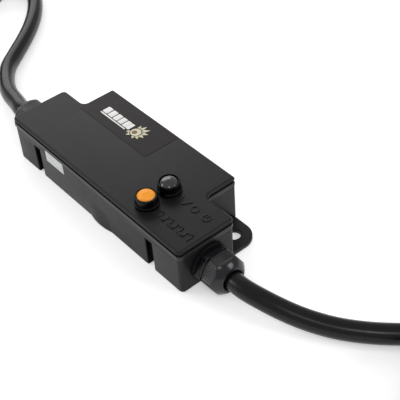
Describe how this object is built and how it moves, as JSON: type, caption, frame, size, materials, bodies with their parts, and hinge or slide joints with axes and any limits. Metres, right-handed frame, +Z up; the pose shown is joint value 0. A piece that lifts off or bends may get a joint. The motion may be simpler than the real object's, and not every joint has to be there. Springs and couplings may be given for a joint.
{
  "type": "in-line push-button control station",
  "caption": "Flat black splash-proof control box with an amber and a black push-button on its lid, mounting ears, and a coiled jacketed cable leaving a gland at each end.",
  "frame": {"origin": "centre of the box's 160 x 61.5 mm footprint, on the flat underside", "axes": "+X along the box towards the button end, +Y to the wide side that carries the ears, +Z up through the lid"},
  "size_m": [0.71, 0.134, 0.043],
  "materials": {
    "case": "matte",
    "lid_plastic": "matte",
    "seal_rubber": "matte",
    "screw_steel": "satin",
    "board": "satin",
    "chip": "matte",
    "capacitor": "satin",
    "terminal_plastic": "satin",
    "header_plastic": "satin",
    "bezel": "gloss",
    "cap_amber": "gloss",
    "contact_brass": "satin",
    "spring_steel": "satin",
    "nut_steel": "satin",
    "cap_black": "gloss",
    "gland_nylon": "satin",
    "cable_jacket": "satin",
    "wire_skin": "satin",
    "wire_yellow": "satin",
    "decal_film": "satin",
    "label_film": "satin",
    "tie_nylon": "satin",
    "plug_plastic": "satin"
  },
  "bodies": {
    "case": {"case_base": "case", "lid": "lid_plastic", "lid_gasket": "seal_rubber", "lid_screws": "screw_steel", "pcb": "board", "pcb_screws": "screw_steel", "microcontroller": "chip", "mosfets": "chip", "capacitors": "capacitor", "terminal_block_left": "terminal_plastic", "terminal_block_right": "terminal_plastic", "switch_header": "header_plastic", "amber_switch_body": "bezel", "amber_spring": "spring_steel", "amber_panel_nut": "nut_steel", "amber_seal_washer": "seal_rubber", "amber_terminals": "contact_brass", "black_switch_body": "bezel", "black_spring": "spring_steel", "black_panel_nut": "nut_steel", "black_seal_washer": "seal_rubber", "black_terminals": "contact_brass", "left_gland_washer": "seal_rubber", "left_gland_body": "gland_nylon", "left_lock_nut": "gland_nylon", "left_seal_insert": "seal_rubber", "left_dome_nut": "gland_nylon", "left_jacket_end": "cable_jacket", "right_gland_washer": "seal_rubber", "right_gland_body": "gland_nylon", "right_lock_nut": "gland_nylon", "right_seal_insert": "seal_rubber", "right_dome_nut": "gland_nylon", "right_jacket_end": "cable_jacket", "left_leads": "wire_skin", "right_leads": "wire_skin", "switch_leads": "wire_yellow", "decal": "decal_film", "side_label": "label_film", "left_cable": "cable_jacket", "left_cable_coil": "cable_jacket", "left_cable_tail": "cable_jacket", "left_cable_tie": "tie_nylon", "left_plug_shell": "plug_plastic", "left_plug_pins": "contact_brass", "right_cable": "cable_jacket", "right_cable_coil": "cable_jacket", "right_cable_tail": "cable_jacket", "right_cable_tie": "tie_nylon", "right_plug_shell": "plug_plastic", "right_plug_pins": "contact_brass"},
    "amber_button": {"amber_cap": "cap_amber", "amber_contact_bridge": "contact_brass"},
    "black_button": {"black_cap": "cap_black", "black_contact_bridge": "contact_brass"}
  },
  "joints": [
    {"name": "amber_press", "type": "slide", "parent": "case", "child": "amber_button", "axis": [0, 0, -1], "range_m": [0, 0.0015], "stiffness_N_per_m": 900, "springref_m": -0.0012, "deforming": ["amber_spring"]},
    {"name": "black_press", "type": "slide", "parent": "case", "child": "black_button", "axis": [0, 0, -1], "range_m": [0, 0.0015], "stiffness_N_per_m": 900, "springref_m": -0.0012, "deforming": ["black_spring"]}
  ]
}
